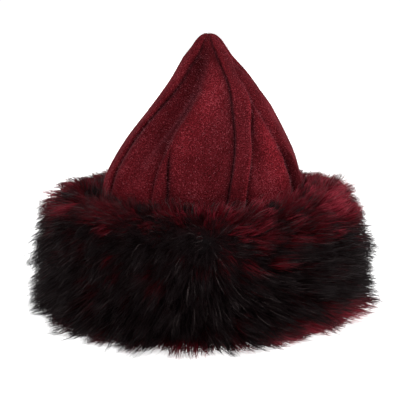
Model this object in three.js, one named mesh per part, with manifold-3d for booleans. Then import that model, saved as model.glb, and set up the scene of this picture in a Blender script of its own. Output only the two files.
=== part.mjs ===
// A pointed hat: four felt gores with lapped seams and darts, standing in a cuff of long-pile fur.
// Millimetres, +Z up. The origin is on the floor under the middle of the hat, and -Y is its front.
// An azimuth is in degrees about +Z, 0 at the front and 90 at +X, the hat's right as seen from the front.
import * as THREE from 'three'
import { mergeVertices } from 'three/addons/utils/BufferGeometryUtils.js'
import Module from 'manifold-3d'

const wasm = await Module()
wasm.setup()

// Driving dimensions
const headCircumference = 565 // round the inside of the rim, a medium adult size
const feltThickness = 2.5
const hatHeight = 245
const rimHeight = 8 // the rim stands on the fur that is turned under it
const cuffWidth = 306 // over the tips of the fur, left to right
const cuffDepth = 304 // the same, front to back
const cuffHeight = 123
const sewnGap = 0.3 // between neighbouring pieces
const lapRise = 2.4 // of the folded-back seam laps over the felt

const rimRadius = headCircumference / (2 * Math.PI) + feltThickness
const { sin, cos, min, max, sqrt, exp, PI } = Math
const radians = (degrees) => (degrees * PI) / 180
const turnBetween = (from, to) => (((to - from) % 360) + 360) % 360
const clamp01 = (x) => min(max(x, 0), 1)
const mix = (a, b, t) => a + (b - a) * t

// 0 before `from`, 1 after `to`, and a smooth rise between them.
function ease(from, to, x) {
  const t = clamp01((x - from) / (to - from))
  return t * t * (3 - 2 * t)
}

// Reads column `name` of a table at `x`, with straight lines between the rows.
function lookUp(table, key, name, x) {
  const next = table.findIndex((row) => row[key] >= x)
  if (next === 0) return table[0][name]
  if (next < 0) return table[table.length - 1][name]
  const [a, b] = [table[next - 1], table[next]]
  return mix(a[name], b[name], (x - a[key]) / (b[key] - a[key]))
}

// Crown: the plain outline, before seams and folds. lean shifts a section towards the hat's right.
const crownSections = [
  { height: rimHeight, radius: rimRadius, lean: 0 },
  { height: 94, radius: 90.5, lean: 0 },
  { height: 113, radius: 89, lean: 0.7 },
  { height: 131, radius: 83.6, lean: 1.6 },
  { height: 147, radius: 75, lean: 3.2 },
  { height: 163, radius: 64.8, lean: 4.6 },
  { height: 178, radius: 54.2, lean: 5.6 },
  { height: 193, radius: 43.4, lean: 5.8 },
  { height: 207, radius: 33, lean: 5.2 },
  { height: 220, radius: 22.8, lean: 4.1 },
  { height: 231, radius: 14.9, lean: 4.6 },
  { height: 239, radius: 9.5, lean: 4.8 },
  { height: 243.5, radius: 4.5, lean: 4.6 },
  { height: hatHeight, radius: 1.4, lean: 4.4 },
]

// The azimuth of each seam as it climbs to the tip. Below the first row the seams are upright.
const seamCourse = [
  { height: 110, front: 12.5, right: 120, back: 198, left: -65 },
  { height: 135, front: 15.8, right: 120.5, back: 199.5, left: -66.2 },
  { height: 160, front: 20.2, right: 122, back: 202, left: -66.8 },
  { height: 185, front: 23.6, right: 124, back: 206, left: -60.5 },
  { height: 205, front: 26.5, right: 125.5, back: 209.5, left: -51 },
  { height: 222, front: 25.5, right: 126, back: 211.5, left: -45 },
  { height: hatHeight, front: 16, right: 126, back: 212, left: -24 },
]

// A gore runs from one seam to the next. The side gores carry the laps of the seams. Its dart is at
// dartAt on the rim and leans round by dartLean, and its cloth is folded to side -1 or 1 of it.
const gores = [
  { name: 'gore_front', from: 'left', to: 'front', laps: false, dartAt: -20, dartLean: -4.6, side: -1 },
  { name: 'gore_right', from: 'front', to: 'right', laps: true, dartAt: 63, dartLean: 2, side: 1 },
  { name: 'gore_back', from: 'right', to: 'back', laps: false, dartAt: 160, dartLean: 4, side: -1 },
  { name: 'gore_left', from: 'back', to: 'left', laps: true, dartAt: 246, dartLean: -6, side: 1 },
]

// Soft folds. The ridge line goes from one azimuth to the other as it climbs, and falls off over
// `before` millimetres on its low-azimuth side and `after` on the other. A negative rise is a dent.
const folds = [
  { low: 132, high: 236, start: -24, end: 8, rise: 8, before: 6, after: 20 },
  { low: 118, high: 240, start: -46, end: -22, rise: -7, before: 10, after: 8 },
  { low: 92, high: 185, start: -57, end: -56, rise: 2.5, before: 8, after: 12 },
  { low: 60, high: 225, start: -96, end: -98, rise: -4, before: 20, after: 16 },
  { low: 102, high: 206, start: 52, end: 41, rise: 6.5, before: 8, after: 5 },
  { low: 104, high: 222, start: 61, end: 58, rise: -5, before: 5, after: 8 },
  { low: 100, high: 190, start: 33, end: 36, rise: -3, before: 4, after: 5 },
  { low: 70, high: 180, start: 88, end: 90, rise: -3.5, before: 10, after: 18 },
  { low: 118, high: 226, start: 100, end: 92, rise: 2.2, before: 12, after: 10 },
  { low: 120, high: 232, start: 150, end: 182, rise: 4.5, before: 7, after: 20 },
  { low: 112, high: 232, start: 134, end: 152, rise: -3.6, before: 11, after: 9 },
  { low: 98, high: 208, start: 262, end: 244, rise: 3.6, before: 12, after: 8 },
  { low: 112, high: 222, start: 226, end: 240, rise: -3.4, before: 10, after: 10 },
]

// Rise of the felt over the plain surface, from a seam inwards, as a share of the lap's or edge's width.
const seamStations = [
  { share: 0, lap: -1.4, edge: -1.4 },
  { share: 0.1, lap: 1.6, edge: -0.8 },
  { share: 0.28, lap: 2.2, edge: -0.3 },
  { share: 0.88, lap: lapRise, edge: 0 },
  { share: 1, lap: -0.4, edge: 0 },
]
const lapWidth = 15.5
const edgeWidth = 9
const narrowest = 0.42 // of a gore's width, the most that either side may take near the tip
const tipSoftness = 6 // the laps flatten where the crown's radius comes down to this

// The same across a dart, from its groove. It fades out over `fade` below its top.
const dartStations = [
  { share: 0, rise: -1.2 },
  { share: 0.14, rise: 1.3 },
  { share: 0.5, rise: 2.3 },
  { share: 0.85, rise: 1.2 },
  { share: 1, rise: 0 },
]
const dart = { top: 158, leansFrom: 110, width: 15, least: 1.6, taper: 50, fade: 16 }
const plainShares = [0.25, 0.5, 0.75] // stations on the plain felt between a seam and a dart

// How far the folds lift the felt at an azimuth and a height.
function foldRise(azimuth, section) {
  let rise = 0
  for (const fold of folds) {
    if (section.height <= fold.low || section.height >= fold.high) continue
    const climb = (section.height - fold.low) / (fold.high - fold.low)
    const line = mix(fold.start, fold.end, ease(0.2, 1, climb))
    const turn = ((azimuth - line + 540) % 360) - 180
    const away = radians(turn) * section.radius
    const reach = (away < 0 ? fold.before : fold.after) * min(1, 0.4 + section.radius / 60)
    rise += fold.rise * sin(PI * climb) ** 0.8 * exp(-((away / reach) ** 2))
  }
  return rise
}

const seamAt = (name, height) => lookUp(seamCourse, 'height', name, height)

const mirrored = (stations, width) => stations.map((s) => ({ at: width - s.at, rise: s.rise })).reverse()
const plainFelt = (from, to) => plainShares.map((share) => ({ at: mix(from, to, share), rise: 0 }))

// A dart's stations, at their distance from the seam that the gore starts from.
function dartAcross(gore, section, start, room) {
  const { radius, height } = section
  const below = clamp01((dart.top - height) / dart.taper)
  const width = min(max(dart.width * sqrt(below), dart.least), (room.high - room.low) * 0.4)
  const standing = clamp01((dart.top - height) / dart.fade)
  const lean = gore.dartLean * ease(dart.leansFrom, dart.top, height)
  const groove = radians(turnBetween(start, gore.dartAt + lean)) * radius
  const from = min(max(groove, room.low + width), room.high - width) - (gore.side < 0 ? width : 0)
  const folded = dartStations.map((s) => ({ at: s.share * width, rise: s.rise * standing }))
  const stations = gore.side < 0 ? mirrored(folded, width) : folded
  return stations.map((s) => ({ at: from + s.at, rise: s.rise }))
}

// The stations across a gore at one section, from seam to seam: azimuth and rise over the outline.
function stationsAcross(gore, section) {
  const { radius, height } = section
  const start = seamAt(gore.from, height)
  const width = radians(turnBetween(start, seamAt(gore.to, height))) * radius - sewnGap
  const side = min(gore.laps ? lapWidth : edgeWidth, width * narrowest)
  const kind = gore.laps ? 'lap' : 'edge'
  const swell = radius / (radius + tipSoftness)
  const first = seamStations.map((s) => ({ at: s.share * side, rise: s[kind] * swell }))
  const middle = dartAcross(gore, section, start, { low: side, high: width - side })
  const last = mirrored(first, width)
  const before = plainFelt(side, middle[0].at)
  const after = plainFelt(middle[middle.length - 1].at, width - side)
  return [...first, ...before, ...middle, ...after, ...last].map((s) => {
    const azimuth = start + ((s.at + sewnGap / 2) / radius) * (180 / PI)
    return { azimuth, rise: s.rise + foldRise(azimuth, section) }
  })
}

// The outline's slope at each section, as the felt's outward direction in the plane of the axis.
const sectionNormals = crownSections.map((_, i) => {
  const below = crownSections[max(i - 1, 0)]
  const above = crownSections[min(i + 1, crownSections.length - 1)]
  return new THREE.Vector2(above.height - below.height, below.radius - above.radius).normalize()
})

// A slab of felt, laid from seam to seam and from rim to tip over the crown. The inside follows the laps
// and folds by a share of their rise, and the gores leave a pinhole at the tip.
const innerShare = 0.5
const pinhole = 0.9
function goreGeometry(gore) {
  const across = crownSections.map((section) => stationsAcross(gore, section))
  const columns = across[0].length - 1
  const rows = crownSections.length - 1
  const slab = new THREE.BoxGeometry(columns, rows, 1, columns, rows, 1)
  const places = slab.attributes.position
  for (let i = 0; i < places.count; i++) {
    const column = Math.round(places.getX(i) + columns / 2)
    const row = Math.round(places.getY(i) + rows / 2)
    const depth = places.getZ(i) > 0 ? 0 : feltThickness
    const { radius, height, lean } = crownSections[row]
    const { azimuth, rise } = across[row][column]
    const normal = sectionNormals[row]
    const offset = depth ? rise * innerShare - depth : rise
    const r = max(radius + offset * normal.x, pinhole)
    const z = height + (row === 0 ? 0 : offset * normal.y)
    places.setXYZ(i, lean + r * sin(radians(azimuth)), -r * cos(radians(azimuth)), min(z, hatHeight))
  }
  return slab
}

const felt = new THREE.MeshStandardMaterial({ color: 0x5f1a22, roughness: 0.95, metalness: 0 })
const fur = new THREE.MeshStandardMaterial({ color: 0x1b0a0d, roughness: 0.7, metalness: 0 })

// Cuff: a stuffed band of fur fabric, turned under the rim, with its pile in locks.
const wellClearance = lapRise + sewnGap // round the crown's plain outline
const foldRoom = 1.2 // more round the folds, over the band
const band = { inner: 88.5, outer: 133, top: 106, corner: 22, hemCorner: 4, steps: 40 }

// Locks of pile, a row for each ring of roots. tilt is the angle of the lock over the horizontal.
const lockRows = [
  { height: 10, radius: 121, tilt: -12, length: 32 },
  { height: 27, radius: 128, tilt: -40, length: 34 },
  { height: 45, radius: 128, tilt: -52, length: 42 },
  { height: 63, radius: 128, tilt: -50, length: 41 },
  { height: 82, radius: 128, tilt: -24, length: 30 },
  { height: 96, radius: 123, tilt: 10, length: 27 },
  { height: 102, radius: 111, tilt: 48, length: 25 },
  { height: 101, radius: 98, tilt: 74, length: 24 },
]

// How far the pile is brushed round the hat, and how far it is raised. It parts at the front, and runs
// to the right from there.
const brushing = [
  { azimuth: -180, swing: 8, raise: 0 },
  { azimuth: -100, swing: -16, raise: 0 },
  { azimuth: -8, swing: -14, raise: 0 },
  { azimuth: 8, swing: 58, raise: 30 },
  { azimuth: 45, swing: 46, raise: 22 },
  { azimuth: 90, swing: 16, raise: 4 },
  { azimuth: 180, swing: 8, raise: 0 },
]
const lock = { count: 18, cover: 1.2, thickness: 18, fullness: 2.2, droop: 8, root: 9, lift: 0.4 }
const lockSides = 4
const lockSteps = 2
const tipLow = new THREE.Vector3(-cuffWidth / 2, -cuffDepth / 2, 0)
const tipHigh = new THREE.Vector3(cuffWidth / 2, cuffDepth / 2, cuffHeight)

// A repeatable number from 0 to 1 for each row, place in the row and use.
const scatter = (row, index, use) => THREE.MathUtils.seededRandom(1 + index + 100 * row + 10000 * use)

function bandGeometry() {
  const { inner, outer, top, corner, hemCorner, steps } = band
  const section = new THREE.Path()
  section.absarc(inner + hemCorner, hemCorner, hemCorner, PI, 1.5 * PI, false)
  section.absarc(outer - corner, corner, corner, -PI / 2, 0, false)
  section.absarc(outer - corner, top - corner, corner, 0, PI / 2, false)
  section.lineTo(inner, top)
  section.closePath()
  return new THREE.LatheGeometry(section.getPoints(2), steps).rotateX(PI / 2)
}

// The room that the crown takes in the cuff, with the laps and the gap round it.
function wellGeometry() {
  const wall = crownSections
    .filter((section) => section.height < 1.3 * cuffHeight)
    .map(({ radius, lean, height }) => {
      const clearance = wellClearance + (height > band.top ? foldRoom : 0)
      return new THREE.Vector2(radius + lean + clearance, height)
    })
  const floor = rimHeight - sewnGap
  const lowest = new THREE.Vector2(wall[0].x, floor)
  const top = wall[wall.length - 1].y
  const section = [new THREE.Vector2(0, floor), lowest, ...wall, new THREE.Vector2(0, top)]
  return new THREE.LatheGeometry(section, band.steps).rotateX(PI / 2)
}

// One lock: a cone bent along a falling line, brushed to one side, with its root in the band.
function lockGeometry(row, ring, index) {
  const chance = scatter(ring, index, 1)
  const other = scatter(ring, index, 2)
  const azimuth = -180 + ((index + 0.5 * (ring % 2) + 0.4 * (chance - 0.5)) * 360) / lock.count
  const swing = lookUp(brushing, 'azimuth', 'swing', azimuth) * (0.85 + 0.3 * other)
  const raise = lookUp(brushing, 'azimuth', 'raise', azimuth) * ease(20, 70, row.height)
  const tilt = radians(row.tilt + raise + 14 * (other - 0.5))
  const length = row.length * (0.85 + 0.3 * chance)
  const width = (lock.cover * 2 * PI * row.radius) / lock.count
  const out = new THREE.Vector3(sin(radians(azimuth)), -cos(radians(azimuth)), 0)
  const round = new THREE.Vector3(-out.y, out.x, 0)
  const flat = out.clone().multiplyScalar(cos(radians(swing))).addScaledVector(round, sin(radians(swing)))
  const along = flat.clone().multiplyScalar(cos(tilt)).add(new THREE.Vector3(0, 0, sin(tilt)))
  const root = out.clone().multiplyScalar(row.radius).setZ(row.height).addScaledVector(along, -lock.root)
  const wide = new THREE.Vector3().crossVectors(new THREE.Vector3(0, 0, 1), flat).normalize()
  const thick = new THREE.Vector3().crossVectors(wide, along)
  const cone = new THREE.ConeGeometry(1, 1, lockSides, lockSteps)
  const places = cone.attributes.position
  for (let i = 0; i < places.count; i++) {
    const t = places.getY(i) + 0.5
    const full = t < 1 ? (1 - t ** lock.fullness) / (1 - t) : 0 // swells the cone into a lock
    const point = root
      .clone()
      .addScaledVector(along, t * (length + lock.root))
      .addScaledVector(wide, (places.getX(i) * full * width) / 2)
      .addScaledVector(thick, (places.getZ(i) * full * lock.thickness) / 2)
    point.z -= lock.droop * t * t * cos(tilt)
    if (t === 1) point.max(tipLow).min(tipHigh)
    point.z = max(point.z, lock.lift * (1 + other))
    places.setXYZ(i, ...point)
  }
  return cone
}

// Turns a closed geometry into a solid for joining and cutting.
function solidOf(geometry) {
  const bare = geometry.clone().deleteAttribute('normal').deleteAttribute('uv')
  const merged = mergeVertices(bare, 1e-3)
  const vertProperties = merged.attributes.position.array
  return new wasm.Manifold(new wasm.Mesh({ numProp: 3, vertProperties, triVerts: merged.index.array }))
}

function geometryOf(solid) {
  const { vertProperties, triVerts } = solid.getMesh()
  const geometry = new THREE.BufferGeometry()
  geometry.setAttribute('position', new THREE.BufferAttribute(vertProperties, 3))
  geometry.setIndex(new THREE.BufferAttribute(triVerts, 1))
  return geometry
}

// Leaves out the small hollows that close between locks.
const largestBody = (solid) => solid.decompose().sort((a, b) => b.volume() - a.volume())[0]
const fineness = 0.3 // nothing smaller is kept where locks cross

function cuffGeometry() {
  const locks = lockRows.flatMap((row, ring) =>
    Array.from({ length: lock.count }, (_, index) => solidOf(lockGeometry(row, ring, index))),
  )
  const furry = wasm.Manifold.union([solidOf(bandGeometry()), ...locks]).subtract(solidOf(wellGeometry()))
  return geometryOf(largestBody(furry).simplify(fineness))
}

const hat = new THREE.Group()
for (const gore of gores) {
  const mesh = new THREE.Mesh(goreGeometry(gore), felt.clone())
  mesh.name = gore.name
  hat.add(mesh)
}
const cuff = new THREE.Mesh(cuffGeometry(), fur)
cuff.name = 'fur_cuff'
hat.add(cuff)

export default hat
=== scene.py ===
import bpy
import numpy as np
from math import cos, radians, sin, pi
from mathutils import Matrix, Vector
from mathutils.kdtree import KDTree


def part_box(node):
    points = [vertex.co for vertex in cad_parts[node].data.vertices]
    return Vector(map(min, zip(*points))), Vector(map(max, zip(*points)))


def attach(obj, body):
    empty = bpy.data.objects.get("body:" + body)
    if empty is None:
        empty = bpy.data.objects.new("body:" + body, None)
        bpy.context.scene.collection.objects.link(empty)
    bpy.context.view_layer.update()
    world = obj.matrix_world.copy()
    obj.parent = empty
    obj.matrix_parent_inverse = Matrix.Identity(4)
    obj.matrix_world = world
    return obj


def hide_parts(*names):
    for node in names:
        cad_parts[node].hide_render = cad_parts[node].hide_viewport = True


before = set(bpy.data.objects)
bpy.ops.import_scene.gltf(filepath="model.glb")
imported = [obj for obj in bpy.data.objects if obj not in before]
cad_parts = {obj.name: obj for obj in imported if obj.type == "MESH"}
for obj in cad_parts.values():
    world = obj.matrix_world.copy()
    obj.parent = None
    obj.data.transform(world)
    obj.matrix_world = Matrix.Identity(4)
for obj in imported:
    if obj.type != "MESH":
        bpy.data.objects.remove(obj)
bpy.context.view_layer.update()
bpy.ops.object.select_all(action="DESELECT")
print("frame loaded")

mm = 0.001
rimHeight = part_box("gore_front")[0][2] / mm
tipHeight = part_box("gore_front")[1][2] / mm


# Camera, at the photo's angle: a long lens a little above the hat
cameraValues = {
    "lens": 122,            # mm
    "sensor": 36,           # mm
    "distance": 1.2,        # m, from the point that it looks at
    "elevation": 13,        # degrees above the floor's plane
    "aim": (-0.0026, 0, 0.0978),
    "sees": (0.05, 50),     # m, the nearest and the furthest
}


def addCamera(values):
    data = bpy.data.cameras.new("camera")
    data.lens = values["lens"]
    data.sensor_width = values["sensor"]
    data.clip_start, data.clip_end = values["sees"]
    camera = bpy.data.objects.new("camera", data)
    bpy.context.scene.collection.objects.link(camera)
    lift = radians(values["elevation"])
    aim = Vector(values["aim"])
    camera.location = aim + values["distance"] * Vector((0, -cos(lift), sin(lift)))
    camera.rotation_euler = (pi / 2 - lift, 0, 0)
    bpy.context.scene.camera = camera


addCamera(cameraValues)


# Floor and light: a white sweep and big soft lamps
studioValues = {
    "floorSize": 12,        # m
    "floorColor": (0.9, 0.9, 0.9, 1),
    "floorRoughness": 0.9,
    "floorGlow": 0.97,
    "wallSeen": 0.97,       # a white wall all round, as the camera sees it
    "wallGlow": 0.03,       # and as it lights the hat
    "lampAim": (0, 0, 0.1),
    "lamps": [              # places and sizes in m, power in W
        {"name": "right_lamp", "place": (1.2, -0.55, 1.0), "size": 0.4, "power": 26},
        {"name": "left_lamp", "place": (-1.15, -0.7, 0.95), "size": 0.5, "power": 18},
        {"name": "front_lamp", "place": (0.2, -1.5, 0.5), "size": 0.5, "power": 0.8},
        {"name": "top_lamp", "place": (0.1, 0.2, 1.9), "size": 1.2, "power": 8},
        {"name": "back_lamp", "place": (-0.5, 1.5, 0.8), "size": 0.7, "power": 9},
    ],
}


def addStudio(values):
    bpy.ops.mesh.primitive_plane_add(size=values["floorSize"], location=(0, 0, 0))
    floor = bpy.context.object
    floor.name = "floor"
    material = bpy.data.materials.new("floorWhite")
    material.use_nodes = True
    shader = material.node_tree.nodes["Principled BSDF"]
    shader.inputs["Base Color"].default_value = values["floorColor"]
    shader.inputs["Roughness"].default_value = values["floorRoughness"]
    shader.inputs["Emission Color"].default_value = (1, 1, 1, 1)
    shader.inputs["Emission Strength"].default_value = values["floorGlow"]
    floor.data.materials.append(material)
    world = bpy.data.worlds.new("studioSky")
    world.use_nodes = True
    nodes, links = world.node_tree.nodes, world.node_tree.links
    nodes["Background"].inputs["Color"].default_value = (1, 1, 1, 1)
    seen = nodes.new("ShaderNodeMapRange")
    seen.inputs["To Min"].default_value = values["wallGlow"]
    seen.inputs["To Max"].default_value = values["wallSeen"]
    links.new(nodes.new("ShaderNodeLightPath").outputs["Is Camera Ray"], seen.inputs["Value"])
    links.new(seen.outputs[0], nodes["Background"].inputs["Strength"])
    bpy.context.scene.world = world
    for lamp in values["lamps"]:
        data = bpy.data.lights.new(lamp["name"], "AREA")
        data.shape = "DISK"
        data.size = lamp["size"]
        data.energy = lamp["power"]
        light = bpy.data.objects.new(lamp["name"], data)
        bpy.context.scene.collection.objects.link(light)
        light.location = lamp["place"]
        toHat = Vector(values["lampAim"]) - light.location
        light.rotation_euler = toHat.to_track_quat("-Z", "Y").to_euler()
    bpy.context.scene.view_settings.view_transform = "Standard"
    bpy.context.scene.view_settings.look = "None"


addStudio(studioValues)
print("camera and studio ready")


# Small helpers for curves, noise and meshes
def ease(start, end, x):
    t = np.clip((x - start) / (end - start), 0, 1)
    return t * t * (3 - 2 * t)


def bump(x, width):
    return np.exp(-((x / width) ** 2))


# How far an azimuth is from another, in degrees from -180 to 180
def turnFrom(azimuth, middle):
    return (azimuth - middle + 540) % 360 - 180


# A table's rows, each with the names of its columns
def table(names, rows):
    return [dict(zip(names.split(), row)) for row in rows]


def column(rows, name):
    return np.array([row[name] for row in rows], float)


# A smooth curve through a table's column, at fractional row numbers
def smoothColumn(rows, name, spots):
    values = column(rows, name)
    values = np.concatenate([[2 * values[0] - values[1]], values, [2 * values[-1] - values[-2]]])
    i = np.clip(np.floor(spots).astype(int), 0, len(rows) - 2)
    t = spots - i
    a, b, c, d = values[i], values[i + 1], values[i + 2], values[i + 3]
    return 0.5 * (2 * b + (c - a) * t + (2 * a - 5 * b + 4 * c - d) * t**2 + (3 * b - a - 3 * c + d) * t**3)


# Soft random waves, round the hat in degrees and along a share from 0 to 1. A wave has a size, how many
# cells it has round and along, and a seed
def softWaves(wave, azimuth, along):
    cells = wave["cells"]
    grid = np.random.default_rng(wave["seed"]).uniform(-1, 1, (cells[0], cells[1] + 2))
    x = (azimuth / 360 % 1) * cells[0]
    y = np.clip(along, 0, 1) * cells[1]
    i, j = np.floor(x).astype(int), np.floor(y).astype(int)
    s, t = ease(0, 1, x - i), ease(0, 1, y - j)
    i, iNext = i % cells[0], (i + 1) % cells[0]
    low = grid[i, j] * (1 - s) + grid[iNext, j] * s
    high = grid[i, j + 1] * (1 - s) + grid[iNext, j + 1] * s
    return wave["size"] * (low * (1 - t) + high * t)


def unit(vectors):
    return vectors / np.maximum(np.linalg.norm(vectors, axis=-1, keepdims=True), 1e-9)


# A grid primitive with its points laid where the arrays say, columns across and rows up
def layGrid(name, places, tones=None, toneName=""):
    rows, columns = places.shape[:2]
    bpy.ops.mesh.primitive_grid_add(
        x_subdivisions=columns - 1, y_subdivisions=rows - 1, size=2, location=(0, 0, 0))
    sheet = bpy.context.object
    sheet.name = name
    flat = np.empty(len(sheet.data.vertices) * 3, np.float32)
    sheet.data.vertices.foreach_get("co", flat)
    flat = flat.reshape(-1, 3)
    i = np.rint((flat[:, 1] + 1) / 2 * (rows - 1)).astype(int)
    j = np.rint((flat[:, 0] + 1) / 2 * (columns - 1)).astype(int)
    sheet.data.vertices.foreach_set("co", (places[i, j] * mm).astype(np.float32).ravel())
    sheet.data.update()
    if tones is not None:
        addTones(sheet, toneName, tones[i, j])
    return sheet


def addTones(piece, name, tones):
    layer = piece.data.color_attributes.new(name, "FLOAT_COLOR", "POINT")
    colors = np.stack([tones, tones, tones, np.ones_like(tones)], axis=-1)
    layer.data.foreach_set("color", colors.astype(np.float32).ravel())


# Many small triangles as one joined mesh, with a UV map that its colours follow
def joinedMesh(name, points, triangles, uvs):
    mesh = bpy.data.meshes.new(name)
    mesh.vertices.add(len(points))
    mesh.vertices.foreach_set("co", (points * mm).astype(np.float32).ravel())
    mesh.loops.add(triangles.size)
    mesh.loops.foreach_set("vertex_index", triangles.astype(np.int32).ravel())
    mesh.polygons.add(len(triangles))
    mesh.polygons.foreach_set("loop_start", np.arange(0, triangles.size, 3, dtype=np.int32))
    mesh.polygons.foreach_set("loop_total", np.full(len(triangles), 3, np.int32))
    mesh.polygons.foreach_set("use_smooth", np.ones(len(triangles), bool))
    layer = mesh.uv_layers.new(name="OFBake")
    layer.data.foreach_set("uv", uvs.astype(np.float32).ravel())
    mesh.update(calc_edges=True)
    mesh.validate()
    piece = bpy.data.objects.new(name, mesh)
    bpy.context.scene.collection.objects.link(piece)
    return piece


# Helpers for materials
def newMaterial(name):
    material = bpy.data.materials.new(name)
    material.use_nodes = True
    return material, material.node_tree.nodes, material.node_tree.links


def addRamp(nodes, stops):
    ramp = nodes.new("ShaderNodeValToRGB")
    while len(ramp.color_ramp.elements) < len(stops):
        ramp.color_ramp.elements.new(0.5)
    for element, (place, color) in zip(ramp.color_ramp.elements, stops):
        element.position = place
        element.color = (*color, 1)
    return ramp


# Noise of so many grains a metre
def addNoise(nodes, links, coordinates, values):
    noise = nodes.new("ShaderNodeTexNoise")
    noise.inputs["Scale"].default_value = values["scale"]
    noise.inputs["Detail"].default_value = values["detail"]
    noise.inputs["Roughness"].default_value = values["roughness"]
    noise.inputs["Distortion"].default_value = values["distortion"]
    links.new(coordinates, noise.inputs["Vector"])
    return noise


# The two axes of a piece's own UV map
def mapAxes(nodes, links):
    uv = nodes.new("ShaderNodeUVMap")
    uv.uv_map = "OFBake"
    split = nodes.new("ShaderNodeSeparateXYZ")
    links.new(uv.outputs["UV"], split.inputs["Vector"])
    return split.outputs["X"], split.outputs["Y"]


# A bump of some strength and depth in metres, over the bump before it
def addBump(nodes, links, height, values, before=None):
    node = nodes.new("ShaderNodeBump")
    node.inputs["Strength"].default_value = values["strength"]
    node.inputs["Distance"].default_value = values["depth"]
    links.new(height, node.inputs["Height"])
    if before:
        links.new(before.outputs["Normal"], node.inputs["Normal"])
    return node


# Crown: the felt's outline, in mm. Its middle leans to the right as it climbs
crownSections = table("height radius lean", [
    (rimHeight, 92.42, 0),
    (52, 92, 0),
    (94, 90.5, 0),
    (113, 89, 0.7),
    (131, 83.6, 1.6),
    (147, 75, 3.2),
    (163, 64.8, 4.6),
    (178, 54.2, 5.6),
    (193, 43.4, 5.8),
    (207, 33, 5.2),
    (220, 22.8, 4.1),
    (231, 14.9, 4.6),
    (239, 9.5, 4.8),
    (243.5, 4.5, 4.6),
    (245, 0.9, 4.4),
])

# The azimuth of each seam as it climbs to the tip, in degrees: 0 at the front, 90 at the right
seamCourse = table("height front right back left", [
    (110, 12.5, 120, 198, -65),
    (135, 15.8, 120.5, 199.5, -66.2),
    (160, 20.2, 122, 202, -66.8),
    (185, 23.6, 124, 206, -60.5),
    (205, 26.5, 125.5, 209.5, -51),
    (222, 25.5, 126, 211.5, -45),
    (tipHeight, 16, 126, 212, -24),
])

# Each gore runs from one seam to the next. A gore with laps carries the raised edge of both its seams.
# A dart's line turns by dartLean up to its top, and side is -1 where it stands before its groove, else 1.
# lapShade is painted light: how much paler, or below 0 darker, the felt is painted per mm that it stands up
# at a lap or a dart. tone is painted light that makes the whole gore paler or darker
gores = [
    {"name": "felt_front", "node": "gore_front", "from": "left", "to": "front", "laps": False,
     "dartAt": -20, "dartLean": -4.6, "side": -1, "lapShade": 0.03, "tone": 0.93},
    {"name": "felt_right", "node": "gore_right", "from": "front", "to": "right", "laps": True,
     "dartAt": 63, "dartLean": 2, "side": 1, "lapShade": -0.13, "tone": 1.16},
    {"name": "felt_back", "node": "gore_back", "from": "right", "to": "back", "laps": False,
     "dartAt": 160, "dartLean": 4, "side": -1, "lapShade": 0.03, "tone": 1.0},
    {"name": "felt_left", "node": "gore_left", "from": "back", "to": "left", "laps": True,
     "dartAt": 246, "dartLean": -6, "side": 1, "lapShade": 0.09, "tone": 1.0},
]

# The soft folds, and the valleys beside them, each from low to high, its line turning from start to end.
# before and after are its reach to both sides in mm, and foot is painted shade: how much darker the felt
# before it is painted
folds = table("low high start end rise before after foot", [
    (132, 236, -24, 8, 8, 5, 20, 0.4),
    (118, 240, -46, -22, -7, 10, 8, 0),
    (112, 205, 1, 9, -2.6, 13, 14, 0),
    (92, 185, -57, -56, 3, 8, 12, 0),
    (60, 225, -96, -98, -4, 20, 16, 0),
    (102, 206, 51, 41, 7.5, 7, 5, 0),
    (104, 222, 61, 58, -5, 5, 8, 0),
    (100, 190, 33, 36, -3, 4, 5, 0),
    (70, 180, 88, 90, -3.5, 10, 18, 0),
    (118, 226, 100, 92, 2.2, 12, 10, 0),
    (120, 232, 150, 182, 4.5, 7, 20, 0),
    (112, 232, 134, 152, -3.6, 11, 9, 0),
    (98, 208, 262, 244, 3.6, 12, 8, 0),
    (112, 222, 226, 240, -3.4, 10, 10, 0),
])

# Painted light and shade: patches where the felt is painted paler, over 0, or darker
lightAndShadePatches = table("azimuth height turn rise tone", [
    (-41, 113, 16, 26, 0.50),
    (0, 106, 17, 22, -0.13),
    (38, 106, 10, 16, -0.15),
    (56, 186, 9, 24, -0.40),
    (60, 138, 6, 30, -0.30),
    (44, 152, 5, 24, 0.22),
])

# How far the felt stands over the plain outline, across a seam's lap, a plain edge and a dart
lapShape = [(0, -2.2), (0.03, -0.4), (0.09, 1.4), (0.17, 2.1), (0.3, 2.4), (0.5, 2.4), (0.76, 2.8),
            (0.88, 2.9), (0.95, 2.0), (1, -1.3)]
edgeShape = [(0, -2.6), (0.08, -2.2), (0.2, -1.3), (0.4, -0.7), (0.7, -0.2), (1, 0)]
dartShape = [(0, -2.0), (0.05, 0.0), (0.14, 1.6), (0.3, 2.5), (0.5, 2.9), (0.68, 2.7), (0.85, 1.4), (1, -0.4)]

foldValues = {
    "turnsFrom": 0.2,       # of its climb, where a fold's line starts to turn
    "roundness": 0.8,       # less is fuller at its ends
    "tipReach": 0.4,        # of its reach, that is left at the tip
    "reachGrowth": 60,      # mm of the crown's radius that add one whole reach
    "footAt": 1.8,          # of its reach, where the painted shade before it is darkest
    "footReach": 1.6,
    "footRoundness": 0.5,
}

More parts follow.
